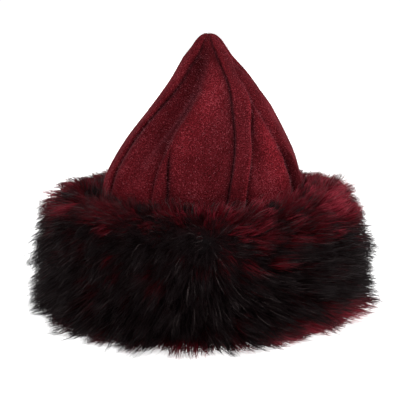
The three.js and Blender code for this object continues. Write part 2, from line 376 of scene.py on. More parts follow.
crownValues = {
    "rows": 112,
    "outlineSteps": 2000,
    "lapColumns": 13,
    "plainColumns": 13,
    "dartColumns": 12,
    "lapWidth": 15.5,       # mm
    "edgeWidth": 9,
    "sewnGap": -0.8,        # the edges are sewn over each other
    "lapRoom": 0.42,        # of a gore's width, the most for a lap or an edge
    "tipSoftness": 6,       # mm, the radius at which the laps stand half as high
    "leastRadius": 0.3,
    "dartTop": 158,         # mm up
    "dartWidth": 15,
    "dartNarrowest": 1.6,
    "dartRoom": 0.4,        # of the felt between the laps, the most for a dart
    "dartTaper": 50,        # mm, over which it gets its width
    "dartFade": 16,         # mm, over which it gets its height
    "dartTurns": 110,       # mm up, where its line starts to turn
    "feltThickness": 2.5,
    "pressDepth": 2.0,      # beside a lap or a dart
    "pressWidth": 2.1,
    "outerPress": 0.75,     # of that depth, at a dart's outer edge
    "outerWidth": 0.7,      # and of that width
    "stitchDepth": 0.5,     # of the row of stitches along a lap
    "stitchAt": 0.66,       # of the lap's width
    "stitchWidth": 0.05,
    "stitchFade": (205, 150),       # mm up, from no stitches to deep ones
    "waves": {"size": 0.45, "cells": (26, 14), "seed": 3},      # mm, of the soft felt
    "creaseShade": 0.42,    # painted shade: how much darker the felt is painted per mm down in a crease
    "creaseLimit": 1.6,     # mm, the deepest that counts
    "lapLimit": 2.5,        # mm, the highest that counts for a gore's lapShade
    "crestShade": 0.075,    # painted light: how much paler the felt is painted per mm up on a fold
    "valleyShade": 0.025,   # and painted shade, darker per mm down beside one
    "foldLimit": 6,
    "besideShade": 0.32,    # painted shade: how much darker the felt beside a lap is painted
    "besideReach": 11,
    "lapInside": 0.98,      # of a lap's width, up to where the lap itself gets none of that painted shade
    "rimShade": 0.8,        # painted highlight: how much paler a lap is painted along its rim
    "rimAt": 0.86,          # of the lap's width
    "rimWidth": 0.1,
    "dartShade": 0.9,       # of the painted shade beside a lap, in a dart's groove
    "dartReach": 4.5,
}


def readShape(shape, share):
    return np.interp(share, [s[0] for s in shape], [s[1] for s in shape])


# How far the folds raise the felt, and how much painted shade darkens it before them
def foldRise(azimuth, height, radius, values):
    rise = np.zeros(np.broadcast(azimuth, height).shape)
    foot = np.zeros_like(rise)
    for fold in folds:
        climb = np.clip((height - fold["low"]) / (fold["high"] - fold["low"]), 0, 1)
        line = fold["start"] + (fold["end"] - fold["start"]) * ease(values["turnsFrom"], 1, climb)
        away = np.radians(turnFrom(azimuth, line)) * radius
        narrowing = np.minimum(1, values["tipReach"] + radius / values["reachGrowth"])
        reach = np.where(away < 0, fold["before"], fold["after"]) * narrowing
        rise += fold["rise"] * np.sin(pi * climb) ** values["roundness"] * bump(away, reach)
        atFoot = bump(away + values["footAt"] * fold["before"], values["footReach"] * fold["before"])
        foot += fold["foot"] * np.sin(pi * climb) ** values["footRoundness"] * atFoot
    return rise, foot


# Rows at even steps along the outline: height, radius, lean and the felt's outward slope
def crownRows(values):
    spots = np.linspace(0, len(crownSections) - 1, values["outlineSteps"])
    height = smoothColumn(crownSections, "height", spots)
    radius = smoothColumn(crownSections, "radius", spots)
    length = np.concatenate([[0], np.cumsum(np.hypot(np.diff(height), np.diff(radius)))])
    spots = np.interp(np.linspace(0, length[-1], values["rows"]), length, spots)
    height, radius, lean = (smoothColumn(crownSections, name, spots) for name in ("height", "radius", "lean"))
    slope = unit(np.stack([np.gradient(height), -np.gradient(radius)], axis=-1))
    return height, radius, lean, slope


def seamAt(name, height):
    spots = np.interp(height, column(seamCourse, "height"), np.arange(len(seamCourse)))
    return smoothColumn(seamCourse, name, spots)


# The gore's points as rows and columns, and the light and shade painted on its felt at each
def gorePlaces(gore, values):
    height, radius, lean, slope = crownRows(values)
    height, radius, lean = height[:, None], radius[:, None], lean[:, None]
    start = seamAt(gore["from"], height)
    width = np.radians((seamAt(gore["to"], height) - start) % 360) * radius - values["sewnGap"]
    side = values["lapWidth"] if gore["laps"] else values["edgeWidth"]
    side = np.minimum(side, width * values["lapRoom"])
    swell = radius / (radius + values["tipSoftness"])
    lapShare = np.linspace(0, 1, values["lapColumns"])[None, :]
    lap = readShape(lapShape if gore["laps"] else edgeShape, lapShare) * swell
    if gore["laps"]:
        stitches = values["stitchDepth"] * bump(lapShare - values["stitchAt"], values["stitchWidth"])
        lap = lap - stitches * ease(*values["stitchFade"], height)

    below = np.clip((values["dartTop"] - height) / values["dartTaper"], 0, 1)
    dartWidth = np.maximum(values["dartWidth"] * np.sqrt(below), values["dartNarrowest"])
    dartWidth = np.minimum(dartWidth, (width - 2 * side) * values["dartRoom"])
    standing = np.clip((values["dartTop"] - height) / values["dartFade"], 0, 1)
    dartLean = gore["dartLean"] * ease(values["dartTurns"], values["dartTop"], height)
    groove = np.radians((gore["dartAt"] + dartLean - start) % 360) * radius
    groove = np.clip(groove, side + dartWidth, width - side - dartWidth)
    dartFrom = groove - (dartWidth if gore["side"] < 0 else 0)
    dartShare = np.linspace(0, 1, values["dartColumns"])[None, :]
    dart = readShape(dartShape, 1 - dartShare if gore["side"] < 0 else dartShare) * standing
    plainShare = (0.5 - 0.5 * np.cos(pi * np.linspace(0, 1, values["plainColumns"] + 2)))[None, 1:-1]
    before = side + (dartFrom - side) * plainShare
    after = dartFrom + dartWidth + (width - side - dartFrom - dartWidth) * plainShare

    def pressed(at):        # the felt dips where a lap or a dart is stitched down on it
        reach = values["pressWidth"]
        laps = bump(at - side, reach) + bump(width - side - at, reach) if gore["laps"] else 0
        pastDart = at - 2 * dartFrom - dartWidth + groove
        outer = values["outerPress"] * bump(pastDart, values["outerWidth"] * reach)
        darts = bump(at - groove, reach) + outer
        return -values["pressDepth"] * (laps * swell + darts * standing)

    onDart = dartFrom + dartShare * dartWidth
    at = np.hstack([lapShare * side, before, onDart, after, width - lapShare[:, ::-1] * side])
    seamed = np.hstack([lap, pressed(before), dart, pressed(after), lap[:, ::-1]])
    azimuth = start + np.degrees((at + values["sewnGap"] / 2) / radius)
    folded, foot = foldRise(azimuth, height, radius, foldValues)
    rise = seamed + folded
    rise = rise + softWaves(values["waves"], azimuth, height / tipHeight) * swell
    r = np.maximum(radius + rise * slope[:, :1], values["leastRadius"])
    aboveRim = height > rimHeight + 0.01        # the rim stays level
    z = np.minimum(height + rise * slope[:, 1:] * aboveRim, tipHeight)
    turn = np.radians(azimuth)

    # Painted light and shade in the felt's colour: creases, the felt beside laps and darts and the foot of a
    # fold are painted darker, rims and fold crests paler, laps paler or darker by lapShade, and patches and
    # each gore's tone add more
    sunk, raised = np.clip(seamed, -values["creaseLimit"], 0), np.clip(seamed, 0, values["lapLimit"])
    crest, valley = np.clip(folded, 0, values["foldLimit"]), np.clip(folded, -values["foldLimit"], 0)
    brushingAndPaintedLight = 1 + values["creaseShade"] * sunk + gore["lapShade"] * raised
    if gore["laps"]:
        acrossLap = np.minimum(at, width - at) / side
        onRim = bump(acrossLap - values["rimAt"], values["rimWidth"])
        brushingAndPaintedLight = brushingAndPaintedLight * (1 + values["rimShade"] * onRim * swell)
    paintedLight = values["crestShade"] * crest + values["valleyShade"] * valley
    brushingAndPaintedLight = gore["tone"] * brushingAndPaintedLight * (1 + paintedLight) * (1 - foot)
    for patch in lightAndShadePatches:
        away = turnFrom(azimuth, patch["azimuth"])
        shade = patch["tone"] * bump(away, patch["turn"]) * bump(height - patch["height"], patch["rise"])
        brushingAndPaintedLight = brushingAndPaintedLight * (1 + shade)

    plainFrom = side if gore["laps"] else 0
    beside = bump(np.maximum(at - plainFrom, 0), values["besideReach"])
    beside = beside + bump(np.maximum(width - plainFrom - at, 0), values["besideReach"])
    if gore["laps"]:
        inside = side * values["lapInside"]
        beside = np.where((at < inside) | (at > width - inside), 0, beside)
    beside = beside + values["dartShade"] * bump(at - groove, values["dartReach"]) * standing
    brushingAndPaintedLight = brushingAndPaintedLight * (1 - values["besideShade"] * np.clip(beside, 0, 1) * swell)
    return np.stack([lean + r * np.sin(turn), -r * np.cos(turn), z], axis=-1), brushingAndPaintedLight


# Felt: heathered wool, dark red with paler fibres and a thin sheen
feltValues = {
    "stops": [
        (0.50, (0.026, 0.0015, 0.0024)),
        (0.61, (0.057, 0.0029, 0.0046)),
        (0.72, (0.140, 0.0125, 0.0190)),
        (0.84, (0.300, 0.085, 0.100)),      # stray paler fibres
    ],
    "heather": {"scale": 980, "detail": 5, "roughness": 0.75, "distortion": 0.6},
    "fibres": {"scale": 2352, "detail": 3, "roughness": 0.7, "distortion": 2.0},
    "clouds": {"scale": 38, "detail": 3, "roughness": 0.5, "distortion": 0},
    "cloudShare": 0.22,     # how much the clouds move the heather's colours
    "heatherBump": {"strength": 0.55, "depth": 0.0008},
    "fibreBump": {"strength": 0.5, "depth": 0.0004},
    "roughness": 0.95,
    "gloss": 0.04,
    "sheen": 0.10,
    "sheenRoughness": 0.25,
    "sheenTint": (1.0, 0.28, 0.38, 1),
}


def feltMaterial(values):
    material, nodes, links = newMaterial("heatheredFelt")
    shader = nodes["Principled BSDF"]
    coordinates = nodes.new("ShaderNodeTexCoord").outputs["Object"]
    heather = addNoise(nodes, links, coordinates, values["heather"])
    clouds = addNoise(nodes, links, coordinates, values["clouds"])
    fibres = addNoise(nodes, links, coordinates, values["fibres"])
    blend = nodes.new("ShaderNodeMath")
    blend.operation = "MULTIPLY_ADD"
    blend.inputs[1].default_value = values["cloudShare"]
    links.new(clouds.outputs["Fac"], blend.inputs[0])
    links.new(heather.outputs["Fac"], blend.inputs[2])
    # the light and shade painted on the gores, as a vertex colour, multiply the heather's colours
    paintedLight = nodes.new("ShaderNodeVertexColor")
    paintedLight.layer_name = "brushingAndPaintedLight"
    ramp = addRamp(nodes, values["stops"])
    links.new(blend.outputs[0], ramp.inputs["Fac"])
    shaded = nodes.new("ShaderNodeMix")
    shaded.data_type = "RGBA"
    shaded.blend_type = "MULTIPLY"
    shaded.inputs[0].default_value = 1
    links.new(ramp.outputs["Color"], shaded.inputs[6])
    links.new(paintedLight.outputs["Color"], shaded.inputs[7])
    links.new(shaded.outputs[2], shader.inputs["Base Color"])
    coarse = addBump(nodes, links, heather.outputs["Fac"], values["heatherBump"])
    fine = addBump(nodes, links, fibres.outputs["Fac"], values["fibreBump"], coarse)
    links.new(fine.outputs["Normal"], shader.inputs["Normal"])
    shader.inputs["Roughness"].default_value = values["roughness"]
    shader.inputs["Specular IOR Level"].default_value = values["gloss"]
    shader.inputs["Sheen Weight"].default_value = values["sheen"]
    shader.inputs["Sheen Roughness"].default_value = values["sheenRoughness"]
    shader.inputs["Sheen Tint"].default_value = values["sheenTint"]
    return material


felt = feltMaterial(feltValues)
goreSheets = {}
for gore in gores:
    # each gore's points, and the light and shade painted on it as a vertex colour
    places, brushingAndPaintedLight = gorePlaces(gore, crownValues)
    goreSheets[gore["name"]] = places
    sheet = layGrid(gore["name"], places, brushingAndPaintedLight, "brushingAndPaintedLight")
    thickness = sheet.modifiers.new("wall", "SOLIDIFY")
    thickness.thickness = crownValues["feltThickness"] * mm
    thickness.offset = -1
    bpy.ops.object.modifier_apply(modifier="wall")
    bpy.ops.object.shade_smooth()
    sheet.data.materials.append(felt)
    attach(sheet, "root")
    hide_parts(gore["node"])
    sheet.select_set(False)
print("crown gores ready")


# Nap: short loose fibres that stand off the felt, in mm. Their own UV map picks their colours
napValues = {
    "each": 3800,           # fibres on each gore
    "lowest": 95,           # up, under the top of the fur
    "shortest": 1.2,
    "longest": 2.6,
    "radius": 0.11,
    "sunk": 0.3,
    "tangle": 0.55,         # how far they lean, at random
    "upright": 0.3,         # and how far they are turned back up
    "tones": (0.05, 0.9),
    "seed": 41,
    "stops": [
        (0.0, (0.07, 0.006, 0.010)),
        (0.5, (0.17, 0.022, 0.034)),
        (1.0, (0.42, 0.14, 0.17)),
    ],
    "roughness": 0.85,
    "gloss": 0.2,
}
threeCorners = (0, 2 * pi / 3, 4 * pi / 3)      # of a fibre or a hair


def addNap(sheets, values):
    random = np.random.default_rng(values["seed"])
    points, triangles, uvs, made = [], [], [], 0
    for places in sheets.values():
        across = np.diff(places, axis=1)[:-1]
        up = np.diff(places, axis=0)[:, :-1]
        normal = np.cross(across, up)
        area = np.linalg.norm(normal, axis=-1)
        area = area * (places[:-1, :-1, 2] > values["lowest"])
        chosen = random.choice(area.size, values["each"], p=(area / area.sum()).ravel())
        i, j = np.unravel_index(chosen, area.shape)
        root = places[i, j] + across[i, j] * random.random((len(i), 1))
        root = root + up[i, j] * random.random((len(i), 1))
        outward = unit(normal[i, j])
        lean = unit(outward + random.normal(0, values["tangle"], root.shape))
        lean = unit(lean + outward * values["upright"])
        length = random.uniform(values["shortest"], values["longest"], (len(i), 1))
        first = unit(np.cross(lean, random.normal(0, 1, root.shape)))
        second = np.cross(lean, first)
        root = root - outward * values["sunk"]
        corners = [root + values["radius"] * (cos(t) * first + sin(t) * second) for t in threeCorners]
        corners.append(root + lean * (length + values["sunk"]))
        points.append(np.stack(corners, axis=1).reshape(-1, 3))
        base = made + 4 * np.arange(len(i))[:, None, None]
        triangles.append((base + np.array([[0, 1, 3], [1, 2, 3], [2, 0, 3], [2, 1, 0]])).reshape(-1, 3))
        shade = random.uniform(*values["tones"], (len(i), 1, 1))
        v = np.array([[0.05, 0.05, 0.95], [0.05, 0.05, 0.95], [0.05, 0.05, 0.95], [0.05, 0.08, 0.05]])
        u = shade + np.array([[0, 0.05, 0.02]] * 4)
        uvs.append(np.stack([u, np.broadcast_to(v, u.shape)], axis=-1).reshape(-1, 2))
        made += 4 * len(i)
    return joinedMesh("felt_nap", np.concatenate(points), np.concatenate(triangles), np.concatenate(uvs))


def napMaterial(values):
    material, nodes, links = newMaterial("napFibre")
    shader = nodes["Principled BSDF"]
    across = mapAxes(nodes, links)[0]
    ramp = addRamp(nodes, values["stops"])
    links.new(across, ramp.inputs["Fac"])
    links.new(ramp.outputs["Color"], shader.inputs["Base Color"])
    shader.inputs["Roughness"].default_value = values["roughness"]
    shader.inputs["Specular IOR Level"].default_value = values["gloss"]
    return material


nap = addNap(goreSheets, napValues)
nap.data.materials.append(napMaterial(napValues))
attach(nap, "root")
print("nap ready")


# Fur cuff: a stuffed band under the pile, and the pile in four pieces
bandPath = table("radius height", [
    (95.4, 60), (95.0, 88), (94, 100), (96, 105), (102, 107),
    (110, 106), (117.5, 102), (124, 94), (128, 81), (129.5, 62),
    (129, 40), (127, 22), (122, 10), (113, 3.5), (102, 1.2),
    (93, 1.2), (89, 3.2), (89.5, 6.6), (95.3, 7.4), (95.5, 30),
])
bandValues = {
    "columns": 200,
    "rows": 90,
    "lumps": {"size": 2.2, "cells": (40, 26), "seed": 11},      # mm
    "tufts": {"size": 1.3, "cells": (120, 60), "seed": 12},
    "lumpyRadii": (100, 112),       # mm, from a smooth inner edge to a lumpy outside
    "lumpyHeights": (2, 9),         # and from a smooth hem
    "upSwell": 0.5,         # how much of the lumps also raises the top
    "upHeights": (90, 106),
    "lowest": 0.6,          # mm up
    "fill": 0.7,            # how tight it is stuffed
    "hairs": {"scale": 420, "detail": 4, "roughness": 0.7, "distortion": 1.5},
    "hairBump": {"strength": 0.9, "depth": 0.0015},
    "stops": [
        (0.0, (0.0035, 0.0018, 0.0022)),
        (0.25, (0.012, 0.0022, 0.003)),
        (0.7, (0.07, 0.006, 0.010)),
    ],
    "roughness": 0.9,
    "gloss": 0.1,
}

# The hem is tucked in at the front's right, where the fur is swept aside
tuckValues = {
    "azimuth": 40,
    "turn": 24,
    "depth": 5.5,           # mm
    "heights": (34, 4),     # mm up, from no tuck to all of it
    "radii": (98, 108),
    "length": 0.84,         # of the pile there
}


def tuck(azimuth, height, values):
    return bump(turnFrom(azimuth, values["azimuth"]), values["turn"]) * ease(*values["heights"], height)


# Where the fur is red and where it is black, from 0 to 1. The front's parting is at azimuth 0
rednessValues = {
    "ground": 0.10,
    "patches": table("azimuth height turn rise red", [
        (-78, 104, 32, 22, 0.42),
        (-32, 108, 34, 11, 0.44),
        (8, 106, 20, 9, 0.47),
        (29, 95, 24, 10, 0.52),
        (40, 108, 16, 10, 0.45),
        (84, 112, 34, 28, 1.0),
        (19, 78, 12, 13, 0.32),
        (58, 16, 34, 14, 1.0),
        (5, 2, 46, 12, 0.90),
        (-38, 54, 16, 18, 0.12),
        (-60, 2, 34, 9, 0.60),
        (-1, 95, 8, 9, -0.50),
        (150, 106, 34, 20, 0.70),
        (205, 96, 24, 26, 0.55),
        (240, 108, 30, 20, 0.80),
        (170, 8, 50, 14, 0.50),
        (250, 6, 34, 12, 0.45),
    ]),
    "mottle": {"size": 0.24, "cells": (46, 9), "seed": 7},
    "mottleHeight": 125,    # mm, that its cells are spread over
    "mottleBlack": 0.35,    # how much of it black fur has
}


def redness(azimuth, height, values):
    red = np.full(azimuth.shape, values["ground"])
    for patch in values["patches"]:
        away = turnFrom(azimuth, patch["azimuth"]) / patch["turn"]
        above = (height - patch["height"]) / patch["rise"]
        red = red + patch["red"] * np.exp(-(away**2) - above**2) * (1 - red)
    mottle = softWaves(values["mottle"], azimuth, height / values["mottleHeight"])
    return red + mottle * (values["mottleBlack"] + red)


# The fur's colours on its UV map: across it from black to red fur, up it from the root to the tip of a hair.
# A range is how red a hair is where such a colour starts and where it is full
furValues = {
    "black": [(0.0, (0.0060, 0.0012, 0.0016)), (0.55, (0.0044, 0.0016, 0.0020))],
    "red": [
        (0.0, (0.045, 0.0012, 0.0030)),
        (0.5, (0.105, 0.0030, 0.0075)),
        (0.95, (0.095, 0.0060, 0.0120)),
    ],
    "redRange": (-0.05, 0.42),
    "blackReach": 0.55,     # how far the black tips reach down a hair that is less red
    "paleTip": (0.330, 0.0300, 0.0500),
    "paleRange": (0.78, 0.95),
    # the grey of the glint hairs: partly paler hairs, partly painted glints of light
    "glint": (0.078, 0.060, 0.059),
    "glintRange": (0.93, 0.96),
    "roughness": 0.5,
    "gloss": 0.075,
}


def blendColors(nodes, links, factor, first, second):
    mix = nodes.new("ShaderNodeMix")
    mix.data_type = "RGBA"
    links.new(factor, mix.inputs[0])
    for socket, value in ((mix.inputs[6], first), (mix.inputs[7], second)):
        if isinstance(value, tuple):
            socket.default_value = (*value, 1)
        else:
            links.new(value, socket)
    return mix.outputs[2]


def addRange(nodes, links, value, ends):
    node = nodes.new("ShaderNodeMapRange")
    node.inputs["From Min"].default_value, node.inputs["From Max"].default_value = ends
    links.new(value, node.inputs["Value"])
    return node


def furMaterial(values):
    material, nodes, links = newMaterial("longPile")
    shader = nodes["Principled BSDF"]
    across, along = mapAxes(nodes, links)
    black = addRamp(nodes, values["black"])
    red = addRamp(nodes, values["red"])
    links.new(along, black.inputs["Fac"])
    links.new(along, red.inputs["Fac"])
    reach = nodes.new("ShaderNodeMath")
    reach.operation = "MULTIPLY_ADD"
    reach.inputs[1].default_value = -values["blackReach"]
    links.new(along, reach.inputs[0])
    links.new(across, reach.inputs[2])
    redPart = addRange(nodes, links, reach.outputs[0], values["redRange"])
    redPart.interpolation_type = "SMOOTHSTEP"
    color = blendColors(nodes, links, redPart.outputs[0], black.outputs["Color"], red.outputs["Color"])
    palePart = addRange(nodes, links, across, values["paleRange"])
    paleTip = nodes.new("ShaderNodeMath")
    paleTip.operation = "MULTIPLY"
    links.new(palePart.outputs[0], paleTip.inputs[0])
    links.new(along, paleTip.inputs[1])
    color = blendColors(nodes, links, paleTip.outputs[0], color, values["paleTip"])
    glintPart = addRange(nodes, links, across, values["glintRange"])
    color = blendColors(nodes, links, glintPart.outputs[0], color, values["glint"])
    links.new(color, shader.inputs["Base Color"])
    shader.inputs["Roughness"].default_value = values["roughness"]
    shader.inputs["Specular IOR Level"].default_value = values["gloss"]
    return material


def bandMaterial(values):
    material, nodes, links = newMaterial("underfur")
    shader = nodes["Principled BSDF"]
    coordinates = nodes.new("ShaderNodeTexCoord").outputs["Object"]
    tone = nodes.new("ShaderNodeVertexColor")
    tone.layer_name = "redness"
    hairs = addNoise(nodes, links, coordinates, values["hairs"])
    shaded = nodes.new("ShaderNodeMath")
    shaded.operation = "MULTIPLY"
    links.new(tone.outputs["Color"], shaded.inputs[0])
    links.new(hairs.outputs["Fac"], shaded.inputs[1])
    ramp = addRamp(nodes, values["stops"])
    links.new(shaded.outputs[0], ramp.inputs["Fac"])
    links.new(ramp.outputs["Color"], shader.inputs["Base Color"])
    bumps = addBump(nodes, links, hairs.outputs["Fac"], values["hairBump"])
    links.new(bumps.outputs["Normal"], shader.inputs["Normal"])
    shader.inputs["Roughness"].default_value = values["roughness"]
    shader.inputs["Specular IOR Level"].default_value = values["gloss"]
    return material


def addBand(values):
    spots = np.linspace(0, len(bandPath), values["rows"])
    loop = [bandPath[-1], *bandPath, bandPath[0], bandPath[1]]
    radius = smoothColumn(loop, "radius", spots + 1)[:, None]
    height = smoothColumn(loop, "height", spots + 1)[:, None]
    along = spots[:, None] / len(bandPath)
    outside = ease(*values["lumpyRadii"], radius) * ease(*values["lumpyHeights"], height)
    azimuth = np.linspace(0, 360, values["columns"])[None, :]
    lumps = softWaves(values["lumps"], azimuth, along)
    swell = (lumps + softWaves(values["tufts"], azimuth, along)) * outside
    turn = np.radians(azimuth)
    tucked = tuckValues["depth"] * tuck(azimuth, height, tuckValues) * ease(*tuckValues["radii"], radius)
    r = radius + swell - tucked
    z = height + values["upSwell"] * swell * ease(*values["upHeights"], height)
    z = np.maximum(z, values["lowest"])
    places = np.stack([r * np.sin(turn), -r * np.cos(turn), z], axis=-1)
    places[:, -1] = places[:, 0]
    places[-1] = places[0]
    band = layGrid("fur_band", places)
    bpy.ops.object.mode_set(mode="EDIT")
    bpy.ops.mesh.select_all(action="SELECT")
    bpy.ops.mesh.remove_doubles(threshold=0.00002)
    bpy.ops.mesh.normals_make_consistent(inside=False)
    bpy.ops.object.mode_set(mode="OBJECT")
    bpy.ops.object.shade_smooth()
    flat = np.empty(len(band.data.vertices) * 3, np.float32)
    band.data.vertices.foreach_get("co", flat)
    x, y, z = flat.reshape(-1, 3).T / mm
    red = np.clip(redness(np.degrees(np.arctan2(x, -y)), z, rednessValues), 0, 1)
    addTones(band, "redness", red)
    return band


band = addBand(bandValues)
band.data.materials.append(bandMaterial(bandValues))
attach(band, "root")
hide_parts("fur_cuff")
band.select_set(False)
print("fur band ready")


# Pile: the line of roots over the band, from the crown to the turned-under hem, in mm. A hair starts along
# firstOut and firstUp and is brushed to lastOut and lastUp. share is how many hairs have their roots there
pileLine = table("radius height length firstOut firstUp lastOut lastUp share", [
    (94.5, 101, 16, -0.2, 1.0, -0.55, 0.85, 1.5),
    (99, 105, 17, -0.1, 1.0, -0.15, 0.8, 1.3),
    (109, 105, 21, 0.35, 0.95, 0.85, 0.25, 1.2),
    (117.5, 100.5, 23, 0.7, 0.7, 0.8, -0.35, 1.2),
    (124, 91, 26, 0.92, 0.3, 0.6, -0.8, 1.1),
    (127.5, 76, 29, 1.0, 0.1, 0.4, -0.9, 1.0),
    (128.5, 56, 31, 1.0, 0.0, 0.42, -0.88, 1.0),
    (128, 36, 31, 1.0, -0.1, 0.6, -0.7, 1.0),
    (125, 18, 31, 0.95, -0.25, 0.85, -0.4, 1.5),
    (118, 7, 23, 0.95, -0.3, 1.0, -0.1, 2.2),
    (106, 2.5, 22, 0.95, -0.1, 1.0, 0.0, 1.0),
    (95, 1.8, 12, 0.4, -0.2, 0.9, 0.0, 0.15),
])

# How the pile is brushed round the hat: sideways, raised against the way it hangs, lofty or lying down at
# its top, how long it is and how long at the crest, and how even it is along the hem, without locks
brushing = table("azimuth sideways raise loft length crest even", [
    (-180, 0.20, 0.0, 0.35, 1.0, 1.0, 0.5),
    (-125, -0.10, 0.0, 0.10, 1.0, 1.0, 0.6),
    (-106, -0.30, 0.0, 0.15, 1.05, 1.0, 0.5),
    (-94, -0.25, 0.05, 0.6, 1.1, 1.15, 0.4),
    (-80, -0.25, 0.05, 0.85, 1.1, 1.12, 0.4),
    (-60, -0.30, 0.05, 0.85, 1.05, 1.0, 0.4),
    (-12, -0.16, 0.0, 0.90, 1.0, 1.0, 0.5),
    (2, 0.30, 0.15, 0.90, 1.0, 1.0, 0.5),
    (16, 0.95, 0.55, 0.90, 1.1, 1.05, 0.55),
    (70, 1.0, 0.45, 1.0, 1.25, 1.3, 0.1),
    (92, 0.7, 0.30, 1.0, 1.05, 1.25, 0.2),
    (108, 0.45, 0.10, 0.35, 1.1, 1.0, 0.5),
    (180, 0.20, 0.0, 0.40, 1.0, 1.0, 0.5),
])

pileValues = {
    "hairs": 47000,
    "clumps": 1500,
    "seed": 5,
    "rootSteps": 1200,
    "leastShare": 0.05,
    "start": 0.18,          # how far a hair's start strays
    "wild": 0.19,           # and its tip
    "lengths": (0.72, 1.12),
    "sidewaysWaves": {"size": 0.22, "cells": (34, 12), "seed": 21},
    "upWaves": {"size": 0.18, "cells": (40, 14), "seed": 22},
    "outWaves": {"size": 0.10, "cells": (40, 14), "seed": 23},
    "lengthWaves": {"size": 0.10, "cells": (60, 20), "seed": 24},
    "lift": (20, 95),       # mm up, from where the pile isn't raised to where it is
    "sweptUp": 0.55,        # how much less the pile hangs where it is brushed sideways
    "sweptOut": 0.35,       # and how much less it stands out
    "pull": 0.66,           # how far the tips of a clump come together
    "pulls": (0.3, 1.0),
    "pullBend": 1.3,        # more keeps them apart further up
    "crestPull": {"more": 0.25, "from": 55, "to": 112},     # degrees to either side
    "uneven": 0.13,         # how much one clump's length differs from the next
    "unevenRange": (0.6, 1.3),
    "crest": 103,           # mm up, above which the low parts of the crest lie down
    "pressed": (0.5, 1.05),         # and how far, hair by hair
    "top": 124,             # mm up, the highest that a hair reaches
    "floor": (0.5, 1.2),    # mm up, the lowest, and what is added at random
    "clear": (2.6, 0.5),    # mm off the crown's outline, and what is added at random
    "limit": 153,           # mm from the middle, past which the longest hairs are bent back
    "bend": 15,
    "curl": 1.3,            # mm, of a hair's middle
    "curlTip": 0.3,         # of that, at its tip
    "width": 0.62,          # mm at the root
    "widths": (0.7, 1.15),
    "thinnest": 0.5,        # of that width, for glints and loose hairs
    "stations": (0, 0.36, 0.72),    # along a hair, and how wide it is there
    "taper": (1.0, 0.86, 0.52),
    # single hairs that stand off the rest, glint hairs, thin and grey, that are partly paler hairs and partly
    # painted glints of light, and the spot at the front from which the pile spreads
    "loose": {"part": 0.07, "overFelt": 0.12, "wild": 0.30, "out": 0.35, "pull": 0.2, "length": 1.22},
    "glint": {"part": 0.042, "crest": 0.10, "to": 100, "redness": 0.975},
    "whorl": {"azimuth": 4, "height": 91, "reach": 42, "force": 1.1, "short": 0.3, "shortReach": 3,
              "flat": 0.45, "eye": 1.5, "topRows": 3, "topRadius": 121, "topForce": 0.3},
    "tuftRed": 0.19,        # how much one clump's redness differs from the next
    "tuftBlack": 0.4,       # how much of that black fur has
    "hairRed": 0.07,
    "reds": (0.01, 0.90),
    "mapWidth": 0.006,      # of a hair, across the UV map
}

# Rows of pileLine, from where a thing has no part in the pile to where it has all
pileZones = {
    "swept": (11.5, 9.5),
    "overFelt": (1.8, 0.6),
    "lengthTop": (2, 5),
    "lengthHem": (11, 9),
    "crestLength": (4, 2),
    "crestPull": (3.5, 2),
    "crestGlint": (2.5, 0.5),
    "unevenHem": (6.5, 8),
    "evenHem": (7.5, 9.5),
}
pilePieces = [
    {"name": "fur_pile_front", "from": -50, "to": 40},
    {"name": "fur_pile_right", "from": 40, "to": 130},
    {"name": "fur_pile_back", "from": 130, "to": 220},
    {"name": "fur_pile_left", "from": 220, "to": 310},
]


# The azimuth of each hair's root, and its place on the line of roots as a fractional row number
def pileRoots(values, random):
    corners = np.stack([column(pileLine, "radius"), column(pileLine, "height")], axis=-1)
    steps = np.linalg.norm(np.diff(corners, axis=0), axis=-1)
    spots = np.linspace(0, len(pileLine) - 1, values["rootSteps"])
    radius, share = smoothColumn(pileLine, "radius", spots), smoothColumn(pileLine, "share", spots)
    weight = radius * np.clip(share, values["leastShare"], None)
    weight = weight * np.interp(spots, np.arange(len(steps)) + 0.5, steps)
    total = np.cumsum(weight) / weight.sum()
    spot = np.interp(random.random(values["hairs"]), total, spots)
    azimuth = random.uniform(-180, 180, values["hairs"])
    return azimuth, spot


# The faces of one hair: three rings of three points and a tip
def hairFaces():
    faces = [[0, 2, 1]]
    for low in (0, 3):
        for k in range(3):
            n = (k + 1) % 3
            faces += [[low + k, low + n, low + 3 + n], [low + k, low + 3 + n, low + 3 + k]]
    faces += [[6, 7, 9], [7, 8, 9], [8, 6, 9]]
    return np.array(faces)


